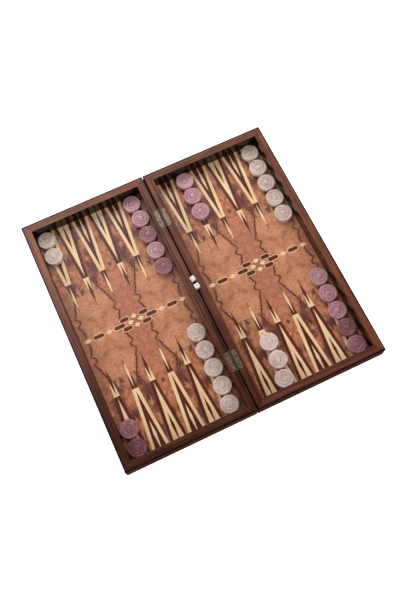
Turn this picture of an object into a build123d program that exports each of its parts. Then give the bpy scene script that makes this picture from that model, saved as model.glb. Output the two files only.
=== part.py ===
from build123d import *
import os

# A folding backgammon set, lying open. Millimetres.
# X runs across the two halves, Y along the hinge line and Z up from the table.
# The origin is on the table, in the middle of the hinge line.

# Board
HALF_WIDTH = 250.0
BOARD_LENGTH = 503.0
HINGE_GAP = 2.0
RIM_HEIGHT = 35.0
FLOOR_HEIGHT = 5.0
RAIL_THICKNESS = 16.0
VENEER_THICKNESS = 1.0
REBATE_WIDTH = 6.0
TOP_EDGE_RADIUS = 1.2
INNER_EDGE_RADIUS = 0.5
FOOT_EDGE_RADIUS = 0.8

# Points: triangles of inlay, six along each end of each half
POINTS_PER_ROW = 6
POINT_PITCH = 35.0
POINT_LENGTH = 181.0
POINT_BASE_HALF = 16.3
LEG_INNER_HALF = 10.8
WAIST_AT = 118.0
WAIST_HALF = 6.0
INNER_TIP_AT = 115.0
SPIKE_BASE_HALF = 0.6
SPIKE_HALF = 2.8
SPIKE_WIDE_AT = 29.0
SPIKE_TIP_AT = 55.0
CROWN_HALF = 5.7
CROWN_THICKNESS = 2.5
LIGHT_NEEDLE_HALF = 2.4
DARK_NEEDLE_HALF = 3.1
NEEDLE_WIDE_AT = 148.0
NEEDLE_DARK_FROM = 167.0
NEEDLE_DARK_HALF = 0.8

# Ornament across the middle of each half
LOZENGE_HALF_HEIGHT = 3.9
LOZENGE_FLAT_SHARE = 0.25
BAR_HALF_HEIGHT = 3.4
LIGHT_LOZENGES = ((10.0, 6.4), (52.5, 6.7), (95.0, 6.7))
DARK_BARS = ((32.0, 11.0), (73.7, 11.0))
SIDE_ROW_AT = 9.2
SIDE_BAR = (19.0, 9.1)
SIDE_LOZENGE_HALF = 6.2
STRING_GAP = 0.9
STRING_WIDTH = 0.9
STRING_END_FACTOR = 1.3
BEAD_AT = (31.5, 6.4)
BEAD_HALF_LENGTH = 1.5
BEAD_HALF_HEIGHT = 1.1

# Hinges
HINGE_Y = 153.5
HINGE_LENGTH = 37.5
PIVOT_LIFT = 0.15
BARREL_RADIUS = 2.2
NOTCH_CLEARANCE = 0.5
PIN_RADIUS = 1.1
PIN_CLEARANCE = 0.05
PIN_HEAD_RADIUS = 1.5
PIN_HEAD_LENGTH = 1.4
PIN_HEAD_GAP = 0.1
PIN_HEAD_ROUNDING = 1.05
LEAF_REACH = 11.5
LEAF_THICKNESS = 1.2
LEAF_SINK = 0.1
SEAT_CUT_ABOVE = 1.0
LEAF_CORNER_RADIUS = 3.0
KNUCKLES = 5
KNUCKLE_GAP = 0.3
SCREW_X = 7.0
SCREW_Y = 12.0
SCREW_HEAD_RADIUS = 2.1
SCREW_SHANK_RADIUS = 1.0
SCREW_LENGTH = 9.0
SCREW_HEAD_DEPTH = 1.1
SCREW_CLEARANCE = 0.05
SCREW_SINK = 0.05
SLOT_WIDTH = 0.5
SLOT_DEPTH = 0.4
SLOT_TURNS = (35, 85)

# Checkers
CHECKER_RADIUS = 17.3
CHECKER_THICKNESS = 9.0
CHECKER_EDGE_RADIUS = 1.6
GROOVE_RADII = (11.6, 6.9)
GROOVE_CUTTER_RADIUS = 1.3
GROOVE_DEPTH = 0.7
DOME_RADIUS = 5.7
DOME_RISE = 0.55
CHECKER_PITCH = 36.3
WALL_GAP = 0.8
REST_GAP = 0.02

# Each column of checkers: place across the board, end of the board (+1 far, -1 near),
# colour, number of checkers, and how far the checker at the wall stands aside.
COLUMNS = (
    (-216.7, 1, "white", 2, 0.0),
    (-36.1, 1, "purple", 5, -3.0),
    (-216.6, -1, "purple", 2, 0.0),
    (-35.2, -1, "white", 5, -3.4),
    (74.3, 1, "purple", 3, 0.0),
    (216.2, 1, "white", 5, 0.0),
    (75.4, -1, "white", 3, -6.0),
    (215.8, -1, "purple", 5, 0.0),
)

# Dice: name, centre across and along the board, turn about Z, and the face that is up
DIE_SIZE = 9.0
DIE_EDGE_RADIUS = 1.2
PIP_RADIUS = 0.8
SINGLE_PIP_RADIUS = 1.35
PIP_DEPTH = 0.35
PIP_SPACING = 2.35
DICE = (
    ("far", -1.0, 15.3, 14.0, 6),
    ("near", 0.0, -0.7, 9.0, 1),
)

SIDES = (("right", 1), ("left", -1))
HALF_CENTRE = HINGE_GAP / 2 + HALF_WIDTH / 2
FIELD_WIDTH = HALF_WIDTH - 2 * RAIL_THICKNESS
FIELD_LENGTH = BOARD_LENGTH - 2 * RAIL_THICKNESS
PANEL_THICKNESS = FLOOR_HEIGHT - VENEER_THICKNESS
PIVOT_HEIGHT = RIM_HEIGHT + PIVOT_LIFT
KNUCKLE_LENGTH = (HINGE_LENGTH - (KNUCKLES - 1) * KNUCKLE_GAP) / KNUCKLES
LEAF_TOP = RIM_HEIGHT - LEAF_SINK


def prism(points, z, thickness):
    """A flat plate with straight edges, standing on height z."""
    outline = make_face(Polyline(*points, close=True))
    return Pos(0, 0, z) * extrude(outline, thickness)


def rounded_rail_section():
    """Section across a rail: x from its outer face inwards, y up."""
    inner = RAIL_THICKNESS
    ledge = RAIL_THICKNESS - REBATE_WIDTH
    outline = Polyline(
        (0, 0), (ledge, 0), (ledge, PANEL_THICKNESS), (inner, PANEL_THICKNESS),
        (inner, RIM_HEIGHT), (0, RIM_HEIGHT), close=True,
    )
    section = make_face(outline)
    roundings = (
        ((0, RIM_HEIGHT), TOP_EDGE_RADIUS),
        ((inner, RIM_HEIGHT), INNER_EDGE_RADIUS),
        ((0, 0), FOOT_EDGE_RADIUS),
    )
    for (x, y), radius in roundings:
        corner = section.vertices().sort_by_distance((x, y, 0))[0]
        section = fillet(corner, radius)
    return section


def mitred_rail(length):
    """A rail along Y with both ends cut at 45 degrees, its outer face at x = 0."""
    half = length / 2
    bar = extrude(Plane.XZ.offset(-half) * rounded_rail_section(), length)
    inner_half = half - RAIL_THICKNESS
    wedge = prism(
        ((0, -half), (RAIL_THICKNESS, -inner_half), (RAIL_THICKNESS, inner_half), (0, half)),
        0, RIM_HEIGHT,
    )
    return bar & wedge


def rails(side):
    """The four rails of one half, by name."""
    centre = side * HALF_CENTRE
    outer_edge = centre + side * HALF_WIDTH / 2
    hinge_edge = centre - side * HALF_WIDTH / 2
    end = BOARD_LENGTH / 2
    outer_turn = 180 if side > 0 else 0
    long_rail = mitred_rail(BOARD_LENGTH)
    short_rail = mitred_rail(HALF_WIDTH)
    hinge_rail = Pos(hinge_edge, 0, 0) * Rot(0, 0, 180 - outer_turn) * long_rail
    return {
        "outer_rail": Pos(outer_edge, 0, 0) * Rot(0, 0, outer_turn) * long_rail,
        "hinge_rail": hinge_rail - hinge_seats(side),
        "far_rail": Pos(centre, end, 0) * Rot(0, 0, -90) * short_rail,
        "near_rail": Pos(centre, -end, 0) * Rot(0, 0, 90) * short_rail,
    }


def hinge_seats(side):
    """What is cut from a hinge rail: leaf recesses, barrel notches and screw holes."""
    notch_length = HINGE_LENGTH + 2 * PIN_HEAD_LENGTH + 2 * NOTCH_CLEARANCE
    cutters = []
    recess_depth = LEAF_THICKNESS + LEAF_SINK + SEAT_CUT_ABOVE
    recess_z = LEAF_TOP - LEAF_THICKNESS
    inner_width = BARREL_RADIUS + NOTCH_CLEARANCE
    for y in (HINGE_Y, -HINGE_Y):
        inner_recess = Box(2 * inner_width, HINGE_LENGTH, recess_depth)
        notch = Cylinder(inner_width, notch_length, rotation=(90, 0, 0))
        cutters += [
            leaf_plate(side, y, recess_z, recess_depth),
            Pos(0, y, recess_z + recess_depth / 2) * inner_recess,
            Pos(0, y, PIVOT_HEIGHT) * notch,
        ]
        for x, screw_y in screw_places(side, y):
            hole = Cylinder(SCREW_SHANK_RADIUS + SCREW_CLEARANCE, SCREW_LENGTH + SCREW_SINK)
            cutters.append(Pos(x, screw_y, LEAF_TOP - (SCREW_LENGTH + SCREW_SINK) / 2) * hole)
    return cutters


def field_panel(side):
    """The panel under one playing field, let into the rails' rebates."""
    width = FIELD_WIDTH + 2 * REBATE_WIDTH
    length = FIELD_LENGTH + 2 * REBATE_WIDTH
    return Pos(side * HALF_CENTRE, 0, PANEL_THICKNESS / 2) * Box(width, length, PANEL_THICKNESS)


def lozenge(u, v, half_length, half_height):
    """A pointed lozenge with short flat sides."""
    flat = half_length * LOZENGE_FLAT_SHARE
    return (
        (u - half_length, v), (u - flat, v + half_height), (u + flat, v + half_height),
        (u + half_length, v), (u + flat, v - half_height), (u - flat, v - half_height),
    )


def pointed_bar(u, v, half_length, half_height):
    """A long bar with blunt pointed ends."""
    shoulder = half_length - half_height
    return (
        (u - half_length, v), (u - shoulder, v + half_height), (u + shoulder, v + half_height),
        (u + half_length, v), (u + shoulder, v - half_height), (u - shoulder, v - half_height),
    )


def point_shapes(light_legs):
    """Outlines of one point, from its base at v = 0, as (is_light, outline) pairs."""
    legs = (
        (-POINT_BASE_HALF, 0), (-LEG_INNER_HALF, 0), (0, INNER_TIP_AT), (LEG_INNER_HALF, 0),
        (POINT_BASE_HALF, 0), (WAIST_HALF, WAIST_AT), (-WAIST_HALF, WAIST_AT),
    )
    field = (
        (-LEG_INNER_HALF, 0), (-SPIKE_BASE_HALF, 0), (-SPIKE_HALF, SPIKE_WIDE_AT),
        (0, SPIKE_TIP_AT), (SPIKE_HALF, SPIKE_WIDE_AT), (SPIKE_BASE_HALF, 0),
        (LEG_INNER_HALF, 0), (0, INNER_TIP_AT),
    )
    spike = (
        (-SPIKE_BASE_HALF, 0), (SPIKE_BASE_HALF, 0), (SPIKE_HALF, SPIKE_WIDE_AT),
        (0, SPIKE_TIP_AT), (-SPIKE_HALF, SPIKE_WIDE_AT),
    )
    notch = WAIST_AT + CROWN_THICKNESS
    needle_half = LIGHT_NEEDLE_HALF if light_legs else DARK_NEEDLE_HALF
    crown = (
        (-CROWN_HALF, WAIST_AT), (CROWN_HALF, WAIST_AT), (needle_half, NEEDLE_WIDE_AT),
        (0, notch), (-needle_half, NEEDLE_WIDE_AT),
    )
    needle = (
        (0, notch), (needle_half, NEEDLE_WIDE_AT), (NEEDLE_DARK_HALF, NEEDLE_DARK_FROM),
        (-NEEDLE_DARK_HALF, NEEDLE_DARK_FROM), (-needle_half, NEEDLE_WIDE_AT),
    )
    tip = (
        (-NEEDLE_DARK_HALF, NEEDLE_DARK_FROM), (NEEDLE_DARK_HALF, NEEDLE_DARK_FROM),
        (0, POINT_LENGTH),
    )
    return (
        (light_legs, legs), (not light_legs, field), (light_legs, spike),
        (not light_legs, crown), (light_legs, needle), (False, tip),
    )


def placed(outline, side, u, end):
    """An outline of a point moved to its place: base on the wall at that end."""
    base = FIELD_LENGTH / 2
    return [(side * HALF_CENTRE + u + x, end * (base - y)) for x, y in outline]


def inlay_outlines(side):
    """All inlay outlines of one half, as (is_light, points) pairs."""
    shapes = []
    for i in range(POINTS_PER_ROW):
        u = (i - (POINTS_PER_ROW - 1) / 2) * POINT_PITCH
        for end in (1, -1):
            light_legs = (i % 2 == 0) == (end > 0)
            for is_light, outline in point_shapes(light_legs):
                shapes.append((is_light, placed(outline, side, u, end)))
    centre = side * HALF_CENTRE
    for sign in (1, -1):
        for u, half_length in LIGHT_LOZENGES:
            shapes.append((True, lozenge(centre + sign * u, 0, half_length, LOZENGE_HALF_HEIGHT)))
        for u, v, half_length in dark_bar_places(sign):
            shapes.append((False, pointed_bar(centre + u, v, half_length, BAR_HALF_HEIGHT)))
        shapes.append(
            (True, lozenge(centre, sign * SIDE_ROW_AT, SIDE_LOZENGE_HALF, LOZENGE_HALF_HEIGHT))
        )
        for u in (BEAD_AT[0], -BEAD_AT[0]):
            bead = lozenge(centre + u, sign * BEAD_AT[1], BEAD_HALF_LENGTH, BEAD_HALF_HEIGHT)
            shapes.append((False, bead))
    return shapes


def dark_bar_places(sign):
    """Centres and half lengths of the dark bars on one side of the ornament."""
    bars = [(sign * u, 0, half_length) for u, half_length in DARK_BARS]
    for v in (SIDE_ROW_AT, -SIDE_ROW_AT):
        bars.append((sign * SIDE_BAR[0], v, SIDE_BAR[1]))
    return bars


def ornament_strings(side):
    """Thin light lines that run round the dark bars."""
    centre = side * HALF_CENTRE
    z = PANEL_THICKNESS
    rings = []
    bodies = []
    for sign in (1, -1):
        for u, v, half_length in dark_bar_places(sign):
            for group, growth in ((bodies, STRING_GAP), (rings, STRING_GAP + STRING_WIDTH)):
                outline = pointed_bar(
                    centre + u, v, half_length + growth * STRING_END_FACTOR,
                    BAR_HALF_HEIGHT + growth,
                )
                group.append(prism(outline, z, VENEER_THICKNESS))
    return rings, bodies


def playing_field(side):
    """Burl veneer, light inlay and dark inlay of one half."""
    z = PANEL_THICKNESS
    light = []
    dark = []
    for is_light, outline in inlay_outlines(side):
        (light if is_light else dark).append(prism(outline, z, VENEER_THICKNESS))
    rings, bodies = ornament_strings(side)
    strings = Part() + rings - bodies - light - dark
    sheet = Pos(side * HALF_CENTRE, 0, z + VENEER_THICKNESS / 2) * Box(
        FIELD_WIDTH, FIELD_LENGTH, VENEER_THICKNESS
    )
    return {
        "burl_veneer": sheet - light - dark - strings,
        "light_inlays": Part() + light + strings,
        "dark_inlays": Part() + dark,
    }


def leaf_plate(side, y, z, thickness):
    """The flat part of a leaf, rounded at its outer corners, from the barrel line outwards."""
    near_edge = BARREL_RADIUS + NOTCH_CLEARANCE
    width = LEAF_REACH - near_edge
    plate = Box(width, HINGE_LENGTH, thickness, align=(Align.MIN, Align.CENTER, Align.MIN))
    corners = plate.edges().filter_by(Axis.Z).sort_by(Axis.X)[-2:]
    plate = fillet(corners, LEAF_CORNER_RADIUS)
    turn = 0 if side > 0 else 180
    return Pos(0, y, z) * Rot(0, 0, turn) * Pos(near_edge, 0, 0) * plate


def screw_places(side, y):
    return [(side * SCREW_X, y + offset) for offset in (SCREW_Y, -SCREW_Y)]


def knuckle_centres(side, y):
    """The right leaf has the first, third and fifth knuckle, the left leaf the others."""
    first = 0 if side > 0 else 1
    start = y - HINGE_LENGTH / 2 + KNUCKLE_LENGTH / 2
    return [start + i * (KNUCKLE_LENGTH + KNUCKLE_GAP) for i in range(first, KNUCKLES, 2)]


def hinge_leaf(side, y):
    """A hinge leaf with its knuckles and countersunk screw holes."""
    z = LEAF_TOP - LEAF_THICKNESS
    leaf = leaf_plate(side, y, z, LEAF_THICKNESS)
    tab_width = BARREL_RADIUS + NOTCH_CLEARANCE
    for knuckle_y in knuckle_centres(side, y):
        barrel = Cylinder(BARREL_RADIUS, KNUCKLE_LENGTH, rotation=(90, 0, 0))
        tab = Box(tab_width, KNUCKLE_LENGTH, LEAF_THICKNESS)
        tab_x = side * tab_width / 2
        leaf += Pos(0, knuckle_y, PIVOT_HEIGHT) * barrel
        leaf += Pos(tab_x, knuckle_y, z + LEAF_THICKNESS / 2) * tab
    bore = Cylinder(PIN_RADIUS + PIN_CLEARANCE, 2 * HINGE_LENGTH, rotation=(90, 0, 0))
    leaf -= Pos(0, y, PIVOT_HEIGHT) * bore
    for x, screw_y in screw_places(side, y):
        leaf -= Pos(x, screw_y, LEAF_TOP) * screw_blank(SCREW_CLEARANCE)
    return leaf


def screw_blank(growth):
    """A countersunk screw with its top face at z = 0, grown all round by a clearance."""
    head_bottom = SCREW_HEAD_DEPTH
    shank = Cylinder(
        SCREW_SHANK_RADIUS + growth, SCREW_LENGTH, align=(Align.CENTER, Align.CENTER, Align.MAX)
    )
    head = Cone(
        SCREW_SHANK_RADIUS + growth, SCREW_HEAD_RADIUS + growth, head_bottom,
        align=(Align.CENTER, Align.CENTER, Align.MAX),
    )
    return shank + head


def hinge_screws(side):
    """The four screws of one side's two leaves, with slotted heads just below the leaf's top."""
    screws = []
    for y in (HINGE_Y, -HINGE_Y):
        for (x, screw_y), slot_turn in zip(screw_places(side, y), SLOT_TURNS):
            slot = Box(2 * SCREW_HEAD_RADIUS, SLOT_WIDTH, 2 * SLOT_DEPTH)
            screw = screw_blank(0) - Rot(0, 0, slot_turn) * slot
            screws.append(Pos(x, screw_y, LEAF_TOP - SCREW_SINK) * screw)
    return Compound(children=screws)


def hinge_pin(y):
    """The pin, with a domed head at each end of the barrel."""
    pin = Cylinder(PIN_RADIUS, HINGE_LENGTH + PIN_HEAD_LENGTH, rotation=(90, 0, 0))
    head_y = HINGE_LENGTH / 2 + PIN_HEAD_GAP + PIN_HEAD_LENGTH / 2
    for end in (1, -1):
        head = Cylinder(PIN_HEAD_RADIUS, PIN_HEAD_LENGTH, rotation=(90, 0, 0))
        rims = head.edges().filter_by(GeomType.CIRCLE).sort_by(Axis.Y)
        head = fillet(rims[-1] if end > 0 else rims[0], PIN_HEAD_ROUNDING)
        pin += Pos(0, end * head_y, 0) * head
    return Pos(0, y, PIVOT_HEIGHT) * pin


def dome_cutter():
    """What a face of a checker loses round its middle, so that a low dome is left there."""
    edge = (DOME_RADIUS, -DOME_RISE)
    half_way = DOME_RADIUS / 2
    crown = ThreePointArc((0, 0), (half_way, -DOME_RISE / 4), edge)
    return make_face(Curve() + [crown, Polyline(edge, (DOME_RADIUS, 0), (0, 0))])


def checker():
    """A turned disc: rounded edge, two grooves and a low dome in each face, foot on z = 0."""
    section = make_face(
        Polyline(
            (0, 0), (CHECKER_RADIUS, 0), (CHECKER_RADIUS, CHECKER_THICKNESS),
            (0, CHECKER_THICKNESS), close=True,
        )
    )
    rim = section.vertices().sort_by(Axis.X)[-2:]
    section = fillet(rim, CHECKER_EDGE_RADIUS)
    lift = GROOVE_CUTTER_RADIUS - GROOVE_DEPTH
    for radius in GROOVE_RADII:
        for z in (-lift, CHECKER_THICKNESS + lift):
            section -= Pos(radius, z) * Circle(GROOVE_CUTTER_RADIUS)
    section -= Pos(0, CHECKER_THICKNESS) * dome_cutter()
    section -= mirror(dome_cutter(), about=Plane.XZ)
    return revolve(Plane.XZ * section, Axis.Z)


def checker_places():
    """Name and centre of every checker, counted along each column from the wall."""
    counts = {"white": 0, "purple": 0}
    places = []
    for x, end, colour, number, lean in COLUMNS:
        for i in range(number):
            counts[colour] += 1
            y = end * (FIELD_LENGTH / 2 - WALL_GAP - CHECKER_RADIUS - i * CHECKER_PITCH)
            shift = lean if i == 0 else 0.0
            places.append((f"{colour}_checker_{counts[colour]:02d}", x + shift, y))
    return places


def pip_offsets(value):
    """Where the pips of one face lie, in steps of the pip spacing."""
    pairs = {
        1: (), 2: ((1, 1),), 3: ((1, 1),), 4: ((1, 1), (1, -1)), 5: ((1, 1), (1, -1)),
        6: ((1, 1), (1, -1), (1, 0)),
    }[value]
    offsets = [(sign * a, sign * b) for a, b in pairs for sign in (1, -1)]
    if value % 2 == 1:
        offsets.append((0, 0))
    return offsets


def die_faces(top):
    """Each face of a die as (value, turn that brings the upper face there)."""
    around = {6: (2, 3, 5, 4), 1: (3, 2, 4, 5)}[top]
    faces = [(top, Rot(0, 0, 0)), (7 - top, Rot(180, 0, 0))]
    for i, value in enumerate(around):
        faces.append((value, Rot(0, 0, 90 * i) * Rot(0, 90, 0)))
    return faces


def die_and_pips(x, y, turn, top):
    """A die with rounded edges, and the paint that fills its pips."""
    cube = Box(DIE_SIZE, DIE_SIZE, DIE_SIZE)
    cube = fillet(cube.edges(), DIE_EDGE_RADIUS)
    pips = []
    for value, face_turn in die_faces(top):
        radius = SINGLE_PIP_RADIUS if value == 1 else PIP_RADIUS
        for a, b in pip_offsets(value):
            spot = Cylinder(radius, PIP_DEPTH, align=(Align.CENTER, Align.CENTER, Align.MAX))
            pips.append(face_turn * Pos(a * PIP_SPACING, b * PIP_SPACING, DIE_SIZE / 2) * spot)
    place = Pos(x, y, RIM_HEIGHT + REST_GAP + DIE_SIZE / 2) * Rot(0, 0, turn)
    return place * (cube - pips), place * Compound(children=pips)


def all_nodes():
    """Every separate piece, by node name."""
    nodes = {}
    for name, side in SIDES:
        for part_name, solid in {**rails(side), **playing_field(side)}.items():
            nodes[f"{name}_{part_name}"] = solid
        nodes[f"{name}_base_panel"] = field_panel(side)
        nodes[f"{name}_hinge_screws"] = hinge_screws(side)
        nodes[f"far_hinge_{name}_leaf"] = hinge_leaf(side, HINGE_Y)
        nodes[f"near_hinge_{name}_leaf"] = hinge_leaf(side, -HINGE_Y)
    nodes["far_hinge_pin"] = hinge_pin(HINGE_Y)
    nodes["near_hinge_pin"] = hinge_pin(-HINGE_Y)
    disc = checker()
    for name, x, y in checker_places():
        nodes[name] = Pos(x, y, FLOOR_HEIGHT + REST_GAP) * disc
    for name, x, y, turn, top in DICE:
        die, pips = die_and_pips(x, y, turn, top)
        nodes[f"{name}_die"] = die
        nodes[f"{name}_die_pips"] = pips
    return nodes


os.makedirs("parts", exist_ok=True)
for node_name, shape in all_nodes().items():
    export_step(shape, f"parts/{node_name}.step")
    print(node_name, round(shape.volume, 1))
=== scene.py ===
"""Looks of the folding backgammon set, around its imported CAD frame. Metres."""
import math

import bpy
from mathutils import Matrix, Vector


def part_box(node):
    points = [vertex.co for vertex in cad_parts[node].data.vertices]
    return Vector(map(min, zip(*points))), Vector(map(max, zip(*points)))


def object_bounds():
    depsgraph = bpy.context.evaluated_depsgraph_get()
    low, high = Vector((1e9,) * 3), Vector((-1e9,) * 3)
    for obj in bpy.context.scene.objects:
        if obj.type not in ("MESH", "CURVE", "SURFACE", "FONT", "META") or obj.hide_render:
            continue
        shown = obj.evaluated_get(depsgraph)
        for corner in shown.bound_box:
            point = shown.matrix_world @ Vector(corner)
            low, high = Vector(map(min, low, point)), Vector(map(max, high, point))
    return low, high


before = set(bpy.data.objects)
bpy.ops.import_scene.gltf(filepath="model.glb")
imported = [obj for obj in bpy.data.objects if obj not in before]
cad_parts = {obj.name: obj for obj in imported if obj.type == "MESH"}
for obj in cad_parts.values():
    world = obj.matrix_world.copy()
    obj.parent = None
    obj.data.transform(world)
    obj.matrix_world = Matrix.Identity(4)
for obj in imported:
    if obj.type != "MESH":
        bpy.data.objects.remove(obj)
cad_low, cad_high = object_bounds()

# Board dimensions, read from the frame
field_low, field_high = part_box("right_burl_veneer")
HALF_CENTRE = (field_low.x + field_high.x) / 2
FIELD_HALF_LENGTH = field_high.y
OUTER_X, OUTER_Y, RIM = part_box("right_outer_rail")[1]
CHECKER_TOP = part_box("white_checker_01")[1].z

# Camera: where it looks, from which direction, how far away, and its turn about the view line
CAMERA_TARGET = Vector((-0.0054, -0.0272, RIM))
CAMERA_AZIMUTH = -20.13
CAMERA_ELEVATION = 71.10
CAMERA_DISTANCE = 1.3461
CAMERA_ROLL = -5.26
CAMERA_LENS = 44.38
CAMERA_SENSOR = 36.0

# Veneer: leaves of this width, each the mirror image of its neighbour
LEAF_WIDTH = 0.0605
CRACK_RANGE = 0.06
# Where the dark crack runs: distance from the middle, then distance from the leaf's edge
CRACK_PATH = (
    (0.0, 0.0245), (0.013, 0.0255), (0.021, 0.0238), (0.031, 0.0197), (0.037, 0.0270),
    (0.042, 0.0263), (0.048, 0.0197), (0.058, 0.0247), (0.066, 0.0270), (0.070, 0.0288),
    (0.081, 0.0330), (0.093, 0.0390), (0.105, 0.0360), (0.118, 0.0310), (0.140, 0.0310),
    (0.165, 0.0270), (0.2345, 0.0300),
)
# Soft spots in one leaf: (centre into the leaf, centre from the middle), then half sizes
EYES = (((0.0455, 0.0385), (0.0085, 0.0085)),)
STREAKS = (
    ((0.037, 0.106), (0.020, 0.020)), ((0.032, 0.142), (0.017, 0.044)),
    ((0.052, 0.092), (0.022, 0.009)), ((0.050, 0.161), (0.018, 0.018)),
    ((0.000, 0.124), (0.004, 0.010)), ((0.042, 0.205), (0.016, 0.030)),
    ((0.008, 0.186), (0.008, 0.022)),
)


def linear(*rgb):
    """An everyday 0-255 colour as the shader's linear colour."""
    def one(value):
        share = value / 255
        return share / 12.92 if share <= 0.04045 else ((share + 0.055) / 1.055) ** 2.4
    return tuple(one(value) for value in rgb) + (1.0,)


# The clear coat over all the wood
LACQUER = {"Specular_IOR_Level": 0.0, "Coat_Roughness": 0.02, "Coat_IOR": 1.5}

# Veneer colours: single ones, or a dark and a pale one
BURL = {
    "orange": (linear(190, 125, 90), linear(212, 149, 114)),
    "pink": (linear(176, 110, 84), linear(190, 124, 98)),
    "outer": (linear(160, 98, 72), linear(200, 130, 94)),
    "speck": (linear(158, 98, 80), linear(222, 146, 88)),
    "eye": linear(150, 92, 62),
    "streak": linear(100, 56, 56),
    "vein": linear(70, 38, 42),
    "halo": linear(120, 72, 60),
    "crack": linear(70, 34, 30),
    "pore": linear(104, 56, 38),
}
# The veneer turns darker and more mottled between these distances from the middle
OUTER_ZONE = (0.075, 0.135)
# Distances from the crack over which it and its halo fade out, and where along it it fades
CRACK_WIDTH = (0.0019, 0.0008)
HALO_WIDTH = (0.0055, 0.0005)
CRACK_FADE = (0.100, 0.130)

# Inlays: pale and deep colour, and how much the fibres show
MAPLE = (linear(251, 216, 174), linear(238, 193, 146), 0.06)
WENGE = (linear(100, 52, 41), linear(80, 38, 30), 0.22)

# Walnut: how far grain and growth lines are drawn out, by whether they run along the board
GRAIN_STRETCH = {True: (1.0, 0.03, 1.0), False: (0.03, 1.0, 1.0)}
LINE_STRETCH = {True: (1.0, 0.012, 0.3), False: (0.012, 1.0, 0.3)}
WALNUT_LIGHT = linear(140, 83, 62)
WALNUT_DARK = linear(112, 62, 45)
WALNUT_PORE = linear(30, 16, 11)
INNER_WALL = linear(29, 16, 11)
OUTER_FACE = linear(58, 33, 23)
PALE_LINES = (1.65, 1.75, 1.85, 1.0)
DARK_LINES = (0.34, 0.36, 0.44, 1.0)
LINE_TINT = (0.80, 0.82, 0.88, 1.0)
FIELD_TINT = (1.22, 1.02, 0.82, 1.0)
PANEL_TINT = (1.342, 1.122, 0.902, 1.0)
# Width of the dark line along the board's outer edges, and how softly it ends
EDGE_LINE = 0.0029
EDGE_LINE_BLUR = 0.0006
# From the board's outline inwards: where the outer faces end, and where the lacquer begins
OUTER_FACE_END = (0.0008, 0.0001)
LACQUER_BEGINS = (0.0008, 0.0014)
# From the hinge line outwards: where the lacquer begins, and where the tint changes
LINE_LACQUER_BEGINS = (0.0015, 0.0025)
TINT_CHANGES = (0.004, 0.0145)
# How far below the rim the rails' undersides are taken to begin
UNDERSIDE_BELOW = (0.004, 0.006)
# Each rail: does its grain run along the board, and how pale it is at its near and far ends
RAIL_TONES = {
    "right": (
        ("outer_rail", True, 1.10, 0.86), ("hinge_rail", True, 0.42, 0.88),
        ("far_rail", False, 0.74, 0.72), ("near_rail", False, 0.46, 0.56),
    ),
    "left": (
        ("outer_rail", True, 0.30, 1.15), ("hinge_rail", True, 0.38, 0.66),
        ("far_rail", False, 1.08, 0.92), ("near_rail", False, 0.36, 0.42),
    ),
}
# How glossy a rail's inner face is, where it isn't fully glossy
WALL_GLOSS = {"left_outer_rail": 0.3}

# Hinges: half the width of the painted shade along the barrel, fading out, and how strong it is
BARREL_WIDTH = (0.0030, 0.0018)
BARREL_SHADE_STRENGTH = 0.8

# Pearl: veins, pale and deep colour of the white checkers and of each purple shade
WHITE = (linear(234, 216, 207), linear(222, 199, 189), linear(205, 178, 167))
PURPLES = {
    "pale": (linear(222, 178, 184), linear(208, 158, 166), linear(194, 140, 149)),
    "fair": (linear(206, 158, 164), linear(190, 140, 147), linear(174, 122, 130)),
    "mid": (linear(186, 136, 144), linear(170, 116, 124), linear(152, 98, 106)),
    "deep": (linear(156, 104, 112), linear(136, 80, 88), linear(114, 60, 70)),
}
# The purple checkers that aren't pale, by number
PURPLE_SHADES = {
    3: "mid", 5: "mid", 6: "deep", 7: "mid", 9: "fair", 10: "fair", 11: "mid", 12: "deep",
    13: "fair", 14: "fair", 15: "fair",
}
# Painted shade in the checkers' turned grooves: the heights below the tops over which it darkens
# them, its tint, and how strong it is on the white and the purple checkers
GROOVE_SHADE_DEPTHS = (0.0001, 0.0006)
GROOVE_SHADE_TINT = (0.45, 0.36, 0.38, 1.0)
WHITE_GROOVE_SHADE = 0.2
PURPLE_GROOVE_SHADE = 0.55

# Surroundings: smooth steps as (low, high, value at low, value at high), and strengths
PANEL_FORWARDS = (0.20, 0.50, 0.0, 1.0)
PANEL_SIDEWAYS = (-0.02, 0.36, 1.0, 0.3)
OVERHEAD_FROM = (0.72, 0.84, 0.0, 1.0)
PANEL_STRENGTH = 1.15
OVERHEAD_STRENGTH = 0.08
AROUND_STRENGTH = 1.12
SKY_COLOR = (1.0, 0.985, 0.97, 1.0)
# Soft key light, aimed at the middle of the board
KEY_PLACE = (0.35, 1.5, 1.35)
KEY_SIZE = (0.9, 0.6)
KEY_POWER = 16.0

# Half the floor's width, and how far it lies below the board
FLOOR_REACH = 6.0
FLOOR_DROP = 0.0002


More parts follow.
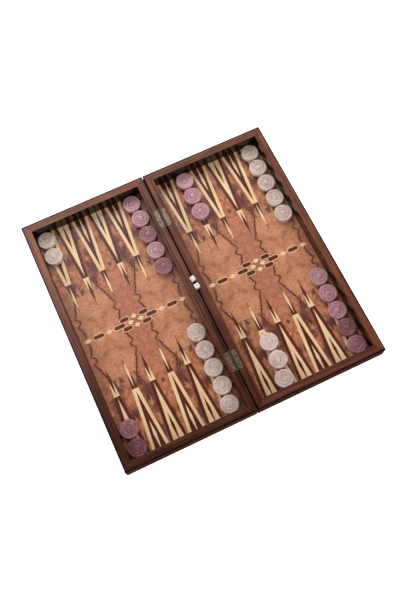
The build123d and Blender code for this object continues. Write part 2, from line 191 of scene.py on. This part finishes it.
class Nodes:
    """A node tree, with short ways to add to it."""

    def __init__(self, tree):
        self.tree = tree
        self.coordinates = tree.nodes.new("ShaderNodeTexCoord").outputs

    def set(self, node, key, value):
        """Links a socket to an input, or sets the input to a plain value."""
        socket = node.inputs[key]
        if isinstance(value, bpy.types.NodeSocket):
            self.tree.links.new(value, socket)
        else:
            socket.default_value = value

    def add(self, kind, inputs, **settings):
        node = self.tree.nodes.new(kind)
        for key, value in settings.items():
            setattr(node, key, value)
        for key, value in inputs.items():
            self.set(node, key, value)
        return node

    def math(self, operation, a, b=0.0, c=0.0):
        return self.add("ShaderNodeMath", {0: a, 1: b, 2: c}, operation=operation).outputs[0]

    def split(self, vector):
        return self.add("ShaderNodeSeparateXYZ", {0: vector}).outputs

    def join(self, x, y, z=0.0):
        return self.add("ShaderNodeCombineXYZ", {0: x, 1: y, 2: z}).outputs[0]

    def scaled(self, vector, x, y, z):
        return self.add(
            "ShaderNodeVectorMath", {0: vector, 1: (x, y, z)}, operation="MULTIPLY"
        ).outputs[0]

    def noise(self, vector, scale, detail=4.0, roughness=0.5, distortion=0.0):
        """Smooth noise, 0 to 1."""
        return self.add("ShaderNodeTexNoise", {
            "Vector": vector, "Scale": scale, "Detail": detail, "Roughness": roughness,
            "Distortion": distortion,
        }).outputs["Fac"]

    def step(self, value, low, high, start=0.0, end=1.0):
        """Goes smoothly from start to end as value goes from low to high."""
        return self.add("ShaderNodeMapRange", {
            "Value": value, "From Min": low, "From Max": high, "To Min": start, "To Max": end,
        }, interpolation_type="SMOOTHSTEP").outputs["Result"]

    def mix(self, share, first, second):
        node = self.add("ShaderNodeMix", {"Factor": share}, data_type="RGBA")
        self.set(node, 6, first)
        self.set(node, 7, second)
        return node.outputs[2]

    def multiply(self, first, second):
        node = self.add("ShaderNodeMix", {"Factor": 1.0}, data_type="RGBA", blend_type="MULTIPLY")
        self.set(node, 6, first)
        self.set(node, 7, second)
        return node.outputs[2]

    def shaded(self, color, tone):
        """The colour made paler or darker by a single number."""
        return self.multiply(color, self.join(tone, tone, tone))


class Paint(Nodes):
    """A material in the making: its colour follows the place on the resting board."""

    def __init__(self, name):
        self.material = bpy.data.materials.new(name)
        self.material.use_nodes = True
        super().__init__(self.material.node_tree)
        self.shader = self.tree.nodes["Principled BSDF"]
        self.where = self.coordinates["Object"]
        self.facing = self.coordinates["Normal"]

    def bump(self, height, strength, distance):
        node = self.add("ShaderNodeBump", {
            "Height": height, "Strength": strength, "Distance": distance,
        })
        self.set(self.shader, "Normal", node.outputs[0])

    def finish(self, color, roughness, **constants):
        self.set(self.shader, "Base Color", color)
        self.set(self.shader, "Roughness", roughness)
        for key, value in constants.items():
            self.shader.inputs[key.replace("_", " ")].default_value = value
        return self.material


def veneer_domain(paint, centre):
    """Book-matched place on the veneer: distance into the leaf, distance from the middle."""
    x, y, _ = paint.split(paint.where)
    across = paint.math("ABSOLUTE", paint.math("SUBTRACT", x, centre))
    into_leaf = paint.math("PINGPONG", across, LEAF_WIDTH)
    along = paint.math("ABSOLUTE", y)
    return into_leaf, along


def crack_line(paint, along):
    """How far into the leaf the crack lies, at a distance from the middle."""
    node = paint.add("ShaderNodeFloatCurve", {
        "Value": paint.math("DIVIDE", along, FIELD_HALF_LENGTH),
    })
    curve = node.mapping.curves[0]
    curve.points[0].location = (0.0, CRACK_PATH[0][1] / CRACK_RANGE)
    curve.points[1].location = (1.0, CRACK_PATH[-1][1] / CRACK_RANGE)
    for place, depth in CRACK_PATH[1:-1]:
        curve.points.new(place / FIELD_HALF_LENGTH, depth / CRACK_RANGE)
    for point in curve.points:
        point.handle_type = "VECTOR"
    node.mapping.update()
    return paint.math("MULTIPLY", node.outputs[0], CRACK_RANGE)


def spots(paint, place, table):
    """Soft oval spots: 1 in the middle of each, 0 outside all of them."""
    total = 0.0
    for centre, size in table:
        offset = paint.add("ShaderNodeVectorMath", {
            0: place, 1: (centre[0], centre[1], 0.0),
        }, operation="SUBTRACT").outputs[0]
        scaled = paint.scaled(offset, 1 / size[0], 1 / size[1], 0.0)
        length = paint.add("ShaderNodeVectorMath", {0: scaled}, operation="LENGTH").outputs["Value"]
        total = paint.math("MAXIMUM", total, paint.step(length, 0.3, 1.0, 1.0, 0.0))
    return total


def warped(paint, place, scale, reach):
    """The place, pushed about by noise so that shapes drawn on it look grown."""
    push = paint.add("ShaderNodeTexNoise", {"Vector": place, "Scale": scale, "Detail": 4.0})
    centred = paint.add("ShaderNodeVectorMath", {
        0: push.outputs["Color"], 1: (0.5, 0.5, 0.5),
    }, operation="SUBTRACT").outputs[0]
    moved = paint.scaled(centred, reach, reach, 0.0)
    return paint.add("ShaderNodeVectorMath", {0: place, 1: moved}, operation="ADD").outputs[0]


def burl_ground(paint, flat_place, place, cloud, mottle, beyond):
    """Pink on one side of the crack, orange on the other, darker far out, and specked."""
    orange = paint.mix(paint.step(cloud, 0.3, 0.7), *BURL["orange"])
    pink = paint.mix(paint.step(cloud, 0.3, 0.7), *BURL["pink"])
    color = paint.mix(paint.step(beyond, -0.004, 0.004), pink, orange)
    outer = paint.step(paint.split(place)[1], *OUTER_ZONE)
    far_tone = paint.mix(paint.step(mottle, 0.35, 0.65), *BURL["outer"])
    color = paint.mix(paint.math("MULTIPLY", outer, 0.85), color, far_tone)
    speck = paint.noise(flat_place, 190.0, 3.0, 0.55, 0.8)
    dark_speck, pale_speck = BURL["speck"]
    color = paint.mix(paint.step(speck, 0.52, 0.35, 0.0, 0.38), color, dark_speck)
    return paint.mix(paint.step(speck, 0.50, 0.67, 0.0, 0.35), color, pale_speck)


def burl_marks(paint, color, flat_place, place):
    """Ringed eyes, and purplish streaks with thin dark veins in them."""
    eyes = spots(paint, place, EYES)
    rings = paint.step(paint.math("SINE", paint.math("MULTIPLY", eyes, 9.0)), -1.0, 1.0, 0.35, 1.0)
    eyes = paint.math("MULTIPLY", paint.math("MULTIPLY", eyes, rings), 0.55)
    color = paint.mix(eyes, color, BURL["eye"])
    streaks = spots(paint, place, STREAKS)
    threads = paint.noise(paint.scaled(flat_place, 1.0, 0.4, 1.0), 90.0, 5.0, 0.6, 0.5)
    body = paint.math("MULTIPLY", streaks, paint.step(threads, 0.36, 0.56))
    color = paint.mix(paint.math("MULTIPLY", body, 0.92), color, BURL["streak"])
    veins = paint.math("ABSOLUTE", paint.math("SUBTRACT", threads, 0.5))
    veins = paint.math("MULTIPLY", streaks, paint.step(veins, 0.035, 0.008))
    return paint.mix(paint.math("MULTIPLY", veins, 0.75), color, BURL["vein"])


def burl_crack(paint, color, along, cloud, mottle, beyond):
    """The dark crack and the stained wood beside it."""
    gap = paint.math("ABSOLUTE", beyond)
    halo = paint.math("MULTIPLY", paint.step(gap, *HALO_WIDTH), paint.step(mottle, 0.3, 0.6))
    color = paint.mix(paint.math("MULTIPLY", halo, 0.65), color, BURL["halo"])
    crack = paint.step(gap, *CRACK_WIDTH)
    crack = paint.math("MULTIPLY", crack, paint.step(cloud, 0.25, 0.5, 0.55, 0.95))
    crack = paint.math("MULTIPLY", crack, paint.step(along, *CRACK_FADE, 1.0, 0.2))
    return paint.mix(crack, color, BURL["crack"])


def burl_veneer(side, centre):
    """Orange-brown burl in mirrored leaves, with dark cracks and purplish streaks."""
    paint = Paint(f"{side}_burl_veneer")
    flat_place = paint.join(*veneer_domain(paint, centre))
    cloud = paint.noise(flat_place, 34.0, 4.0, 0.5, 0.8)
    mottle = paint.noise(flat_place, 80.0, 4.0, 0.55, 0.7)
    figure = paint.noise(flat_place, 290.0, 5.0, 0.6, 1.0)
    place = warped(paint, flat_place, 70.0, 0.009)
    into_leaf, along, _ = paint.split(warped(paint, flat_place, 190.0, 0.0055))
    beyond = paint.math("SUBTRACT", into_leaf, crack_line(paint, along))
    color = burl_ground(paint, flat_place, place, cloud, mottle, beyond)
    color = burl_marks(paint, color, flat_place, place)
    color = burl_crack(paint, color, along, cloud, mottle, beyond)
    color = paint.shaded(color, paint.step(mottle, 0.25, 0.75, 0.84, 1.15))
    color = paint.shaded(color, paint.step(figure, 0.3, 0.7, 0.86, 1.13))
    pores = paint.step(paint.noise(flat_place, 1300.0, 2.0, 0.5), 0.64, 0.74)
    color = paint.mix(paint.math("MULTIPLY", pores, 0.3), color, BURL["pore"])
    paint.bump(figure, 0.05, 0.0004)
    return paint.finish(
        color, paint.step(figure, 0.3, 0.7, 0.4, 0.52), Coat_Weight=1.0, **LACQUER
    )


def inlay_wood(name, pale, deep, fibre_share):
    """Straight-grained inlay, its grain along the points."""
    paint = Paint(name)
    fibres = paint.noise(paint.scaled(paint.where, 1.0, 0.05, 1.0), 900.0, 4.0, 0.6)
    cloud = paint.noise(paint.scaled(paint.where, 1.0, 0.4, 1.0), 45.0, 3.0, 0.5)
    color = paint.mix(paint.step(cloud, 0.25, 0.75), deep, pale)
    tone = paint.step(fibres, 0.25, 0.75, 1.0 - fibre_share, 1.0 + fibre_share)
    color = paint.shaded(color, tone)
    paint.bump(fibres, 0.05, 0.0003)
    return paint.finish(
        color, paint.step(fibres, 0.3, 0.7, 0.4, 0.5), Coat_Weight=1.0, **LACQUER
    )


def walnut_grain(paint, along_y):
    """Broad and fine grain, growth lines and pores, drawn out along the rail."""
    place = paint.scaled(paint.where, *GRAIN_STRETCH[along_y])
    line_place = paint.scaled(paint.where, *LINE_STRETCH[along_y])
    broad = paint.noise(place, 130.0, 4.0, 0.55, 0.4)
    fine = paint.noise(place, 700.0, 4.0, 0.65, 0.2)
    lines = paint.noise(line_place, 300.0, 3.0, 0.55, 0.2)
    pores = paint.step(paint.noise(place, 1700.0, 2.0, 0.5), 0.62, 0.70)
    return broad, fine, lines, pores


def walnut_face(paint, grain, tone, line_share):
    """Colour of the wood where it faces up or down. line_share: how strong the lines are."""
    broad, fine, lines, pores = grain
    blotch = paint.noise(paint.where, 22.0, 3.0, 0.5)
    color = paint.mix(paint.step(broad, 0.32, 0.68), WALNUT_DARK, WALNUT_LIGHT)
    color = paint.multiply(color, tone)
    color = paint.shaded(color, paint.step(fine, 0.3, 0.7, 0.70, 1.26))
    pale_lines = paint.multiply(color, PALE_LINES)
    color = paint.mix(paint.step(lines, 0.47, 0.34, 0.0, 0.7 * line_share), color, pale_lines)
    dark_lines = paint.multiply(color, DARK_LINES)
    color = paint.mix(paint.step(lines, 0.50, 0.62, 0.0, line_share), color, dark_lines)
    color = paint.shaded(color, paint.step(blotch, 0.3, 0.7, 0.85, 1.15))
    return paint.mix(paint.math("MULTIPLY", pores, 0.5), color, WALNUT_PORE)


def underside(paint):
    """1 on what lies below the rims' edges, 0 on the rims."""
    depth = paint.math("SUBTRACT", RIM, paint.split(paint.where)[2])
    return paint.step(depth, *UNDERSIDE_BELOW)


def rail_tone(paint, along_y, near_tone, far_tone):
    """How pale a rail's top is: near_tone at its near or left end, far_tone at the other."""
    x, y, _ = paint.split(paint.where)
    place, reach = (y, OUTER_Y) if along_y else (x, OUTER_X)
    tone = paint.step(place, -reach, reach, near_tone, far_tone)
    tone = paint.math("MAXIMUM", tone, underside(paint))
    return paint.join(tone, tone, tone)


def levelness(paint):
    """1 where a face points straight up or down, 0 where it stands upright."""
    return paint.math("ABSOLUTE", paint.split(paint.facing)[2])


def finish_walnut(paint, grain, color, coat):
    fine = grain[1]
    paint.bump(fine, 0.05, 0.0003)
    paint.set(paint.shader, "Coat Weight", coat)
    return paint.finish(color, paint.step(fine, 0.3, 0.7, 0.38, 0.52), **LACQUER)


def inner_wall(paint, grain):
    """Near-black wood of the upright faces."""
    return paint.shaded(INNER_WALL, paint.step(grain[1], 0.3, 0.7, 0.6, 1.35))


def outer_walnut(name, along_y, near_tone, far_tone):
    """A rail on the board's outside: a dark line round its rim, and dull outer faces."""
    paint = Paint(name)
    grain = walnut_grain(paint, along_y)
    top = walnut_face(paint, grain, rail_tone(paint, along_y, near_tone, far_tone), 0.55)
    level = levelness(paint)
    x, y, _ = paint.split(paint.where)
    to_edge = paint.math(
        "MINIMUM",
        paint.math("SUBTRACT", OUTER_X, paint.math("ABSOLUTE", x)),
        paint.math("SUBTRACT", OUTER_Y, paint.math("ABSOLUTE", y)),
    )
    inside_line = paint.step(to_edge, EDGE_LINE - EDGE_LINE_BLUR, EDGE_LINE + EDGE_LINE_BLUR)
    inside_line = paint.math("MAXIMUM", inside_line, underside(paint))
    top_share = paint.math("MULTIPLY", paint.step(level, 0.55, 0.9), inside_line)
    outside = paint.step(to_edge, *OUTER_FACE_END)
    outside = paint.math("MULTIPLY", outside, paint.step(level, 0.6, 0.3))
    outer_face = paint.shaded(OUTER_FACE, paint.step(grain[0], 0.3, 0.7, 0.65, 1.3))
    walls = paint.mix(outside, inner_wall(paint, grain), outer_face)
    coat = paint.step(to_edge, *LACQUER_BEGINS)
    if name in WALL_GLOSS:
        coat = paint.math("MULTIPLY", coat, paint.step(level, 0.3, 0.6, WALL_GLOSS[name], 1.0))
    return finish_walnut(paint, grain, paint.mix(top_share, walls, top), coat)


def hinge_walnut(name, along_y, near_tone, far_tone):
    """A rail beside the hinge line: greyer at the line, more orange at the field."""
    paint = Paint(name)
    grain = walnut_grain(paint, along_y)
    top = walnut_face(paint, grain, rail_tone(paint, along_y, near_tone, far_tone), 0.9)
    from_line = paint.math("ABSOLUTE", paint.split(paint.where)[0])
    tint = paint.mix(paint.step(from_line, *TINT_CHANGES), LINE_TINT, FIELD_TINT)
    top = paint.multiply(top, tint)
    top_share = paint.step(levelness(paint), 0.55, 0.9)
    color = paint.mix(top_share, inner_wall(paint, grain), top)
    return finish_walnut(paint, grain, color, paint.step(from_line, *LINE_LACQUER_BEGINS))


def panel_walnut():
    """Plain walnut of the panels under the board."""
    paint = Paint("walnut_panel")
    grain = walnut_grain(paint, True)
    face = walnut_face(paint, grain, PANEL_TINT, 0.5)
    top_share = paint.step(levelness(paint), 0.55, 0.9)
    color = paint.mix(top_share, inner_wall(paint, grain), face)
    return finish_walnut(paint, grain, color, 1.0)


def aged_brass():
    """Dull brass with grey-green and red-brown patina, and painted shade darkening the barrel."""
    paint = Paint("aged_brass")
    cloud = paint.noise(paint.where, 170.0, 5.0, 0.6, 0.8)
    stain = paint.noise(paint.scaled(paint.where, 1.0, 0.6, 1.0), 260.0, 3.0, 0.5, 0.5)
    scratches = paint.noise(paint.scaled(paint.where, 1.0, 0.08, 1.0), 1800.0, 3.0, 0.6)
    color = paint.mix(paint.step(cloud, 0.38, 0.62), linear(92, 72, 64), linear(142, 120, 104))
    color = paint.mix(paint.step(stain, 0.54, 0.66, 0.0, 0.7), color, linear(104, 62, 48))
    worn = paint.step(paint.noise(paint.where, 420.0, 3.0, 0.5), 0.58, 0.70)
    color = paint.mix(paint.math("MULTIPLY", worn, 0.4), color, linear(190, 160, 122))
    # Painted shade: a dark band down the barrel, where the two leaves meet
    across = paint.math("ABSOLUTE", paint.split(paint.where)[0])
    barrel = paint.step(across, *BARREL_WIDTH, 0.0, BARREL_SHADE_STRENGTH)
    color = paint.mix(barrel, color, linear(50, 42, 36))
    rough = paint.step(scratches, 0.3, 0.7, 0.32, 0.5)
    paint.bump(scratches, 0.15, 0.0002)
    return paint.finish(color, rough, Metallic=0.8)


def bright_brass():
    """Brass rubbed bright, with fine scratches: the screws and the pins' heads."""
    paint = Paint("bright_brass")
    cloud = paint.noise(paint.where, 500.0, 4.0, 0.6)
    color = paint.mix(paint.step(cloud, 0.35, 0.65), linear(104, 86, 66), linear(150, 128, 98))
    rough = paint.step(cloud, 0.3, 0.7, 0.26, 0.4)
    paint.bump(cloud, 0.1, 0.0002)
    return paint.finish(color, rough, Metallic=0.9)


def pearl(name, veins, pale, deep, groove_shade_share):
    """Marbled pearl resin. The marbling follows the place, so no two checkers are alike.

    The last argument is how dark the painted shade in the turned grooves is, 0 to 1.
    """
    paint = Paint(name)
    own_tone = paint.noise(paint.scaled(paint.where, 1.0, 1.0, 0.0), 19.0, 1.0, 0.4)
    swirl = paint.noise(paint.where, 55.0, 4.0, 0.55, 2.0)
    streak = paint.noise(paint.scaled(paint.where, 1.0, 0.45, 1.0), 110.0, 4.0, 0.6, 3.0)
    color = paint.mix(paint.step(own_tone, 0.35, 0.65), deep, pale)
    color = paint.mix(paint.step(swirl, 0.45, 0.68, 0.0, 0.75), color, veins)
    color = paint.shaded(color, paint.step(streak, 0.34, 0.66, 0.86, 1.08))
    # Painted shade: upward faces just below the top, in the turned grooves, are darkened in patches
    below_top = paint.math("SUBTRACT", CHECKER_TOP, paint.split(paint.where)[2])
    faces_up = paint.step(paint.split(paint.facing)[2], 0.25, 0.6)
    groove = paint.math("MULTIPLY", paint.step(below_top, *GROOVE_SHADE_DEPTHS), faces_up)
    patches = paint.step(streak, 0.3, 0.6, groove_shade_share, 0.5 * groove_shade_share)
    painted_groove_shade = paint.math("MULTIPLY", groove, patches)
    color = paint.mix(painted_groove_shade, color, paint.multiply(color, GROOVE_SHADE_TINT))
    rough = paint.step(swirl, 0.3, 0.7, 0.24, 0.36)
    turning = paint.noise(paint.scaled(paint.where, 1.0, 1.0, 4.0), 600.0, 2.0, 0.5)
    paint.bump(turning, 0.04, 0.0002)
    return paint.finish(
        color, rough, Specular_IOR_Level=0.3, Coat_Weight=0.4, Coat_Roughness=0.16,
        Subsurface_Weight=0.06, Subsurface_Scale=0.002,
    )


def die_resin():
    paint = Paint("die_resin")
    cloud = paint.noise(paint.where, 300.0, 3.0, 0.5)
    color = paint.mix(cloud, linear(247, 243, 240), linear(254, 252, 250))
    return paint.finish(
        color, paint.step(cloud, 0.3, 0.7, 0.22, 0.32), Coat_Weight=0.4, Coat_Roughness=0.08,
        Subsurface_Weight=0.1, Subsurface_Scale=0.002,
    )


def pip_paint():
    paint = Paint("pip_paint")
    cloud = paint.noise(paint.where, 900.0, 3.0, 0.5)
    color = paint.mix(cloud, linear(38, 20, 22), linear(66, 38, 40))
    return paint.finish(color, paint.step(cloud, 0.3, 0.7, 0.35, 0.55))


def floor_material():
    """Plain white studio floor that stays white under the soft light."""
    paint = Paint("studio_floor")
    grain = paint.noise(paint.where, 3.0, 2.0, 0.5)
    color = paint.mix(grain, linear(243, 243, 243), linear(247, 247, 247))
    return paint.finish(
        color, 0.8, Specular_IOR_Level=0.1, Emission_Color=(1.0, 1.0, 1.0, 1.0),
        Emission_Strength=1.0,
    )


def put(node, material):
    """Gives one CAD node its material."""
    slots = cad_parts[node].data.materials
    slots.clear()
    slots.append(material)


def paint_board():
    light = inlay_wood("maple_inlay", *MAPLE)
    dark = inlay_wood("wenge_inlay", *WENGE)
    panel = panel_walnut()
    brass = aged_brass()
    bright = bright_brass()
    for side, sign in (("right", 1), ("left", -1)):
        for rail, along_y, near_tone, far_tone in RAIL_TONES[side]:
            name = f"{side}_{rail}"
            walnut = hinge_walnut if rail == "hinge_rail" else outer_walnut
            put(name, walnut(name, along_y, near_tone, far_tone))
        put(f"{side}_base_panel", panel)
        put(f"{side}_burl_veneer", burl_veneer(side, sign * HALF_CENTRE))
        put(f"{side}_light_inlays", light)
        put(f"{side}_dark_inlays", dark)
        put(f"{side}_hinge_screws", bright)
        for end in ("far", "near"):
            put(f"{end}_hinge_{side}_leaf", brass)
    for end in ("far", "near"):
        put(f"{end}_hinge_pin", bright)


def paint_loose_pieces():
    white = pearl("pearl_white", *WHITE, WHITE_GROOVE_SHADE)
    purples = {
        shade: pearl(f"pearl_purple_{shade}", *colors, PURPLE_GROOVE_SHADE)
        for shade, colors in PURPLES.items()
    }
    resin = die_resin()
    pips = pip_paint()
    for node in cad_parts:
        if node.startswith("white_checker"):
            put(node, white)
        elif node.startswith("purple_checker"):
            put(node, purples[PURPLE_SHADES.get(int(node[-2:]), "pale")])
    for end in ("far", "near"):
        put(f"{end}_die", resin)
        put(f"{end}_die_pips", pips)


def make_floor():
    mesh = bpy.data.meshes.new("studio_floor")
    signs = ((-1, -1), (1, -1), (1, 1), (-1, 1))
    corners = [(FLOOR_REACH * x, FLOOR_REACH * y, 0) for x, y in signs]
    mesh.from_pydata(corners, [], [(0, 1, 2, 3)])
    floor = bpy.data.objects.new("studio_floor", mesh)
    floor.location.z = cad_low.z - FLOOR_DROP
    mesh.materials.append(floor_material())
    bpy.context.scene.collection.objects.link(floor)


def make_camera():
    azimuth = math.radians(CAMERA_AZIMUTH)
    elevation = math.radians(CAMERA_ELEVATION)
    back = Vector((
        math.sin(azimuth) * math.cos(elevation), -math.cos(azimuth) * math.cos(elevation),
        math.sin(elevation),
    ))
    data = bpy.data.cameras.new("camera")
    data.lens = CAMERA_LENS
    data.sensor_width = CAMERA_SENSOR
    camera = bpy.data.objects.new("camera", data)
    level = (-back).to_track_quat("-Z", "Y").to_matrix()
    roll = Matrix.Rotation(math.radians(CAMERA_ROLL), 3, "Z")
    camera.matrix_world = (
        Matrix.Translation(CAMERA_TARGET + back * CAMERA_DISTANCE) @ (level @ roll).to_4x4()
    )
    bpy.context.scene.collection.objects.link(camera)
    bpy.context.scene.camera = camera


def make_key_light():
    data = bpy.data.lights.new("key", "AREA")
    data.shape = "RECTANGLE"
    data.size, data.size_y = KEY_SIZE
    data.energy = KEY_POWER
    light = bpy.data.objects.new("key", data)
    light.location = KEY_PLACE
    light.rotation_euler = (-Vector(KEY_PLACE)).to_track_quat("-Z", "Y").to_euler()
    bpy.context.scene.collection.objects.link(light)


def make_surroundings():
    """Soft white all around, dim straight above, with a paler panel beyond the far end."""
    world = bpy.data.worlds.new("studio")
    world.use_nodes = True
    sky = Nodes(world.node_tree)
    x, y, z = sky.split(sky.coordinates["Generated"])
    sideways = sky.math("DIVIDE", x, z)
    forwards = sky.math("DIVIDE", y, z)
    panel = sky.math(
        "MULTIPLY", sky.step(forwards, *PANEL_FORWARDS), sky.step(sideways, *PANEL_SIDEWAYS)
    )
    overhead = sky.math("ADD", sky.math("MULTIPLY", panel, PANEL_STRENGTH), OVERHEAD_STRENGTH)
    dim = sky.step(z, *OVERHEAD_FROM)
    around = sky.math("MULTIPLY", sky.math("SUBTRACT", 1.0, dim), AROUND_STRENGTH)
    strength = sky.math("ADD", around, sky.math("MULTIPLY", dim, overhead))
    background = sky.tree.nodes["Background"]
    sky.set(background, "Strength", strength)
    sky.set(background, "Color", SKY_COLOR)
    bpy.context.scene.world = world


bpy.context.scene.view_settings.view_transform = "Standard"
paint_board()
paint_loose_pieces()
make_floor()
make_camera()
make_surroundings()
make_key_light()
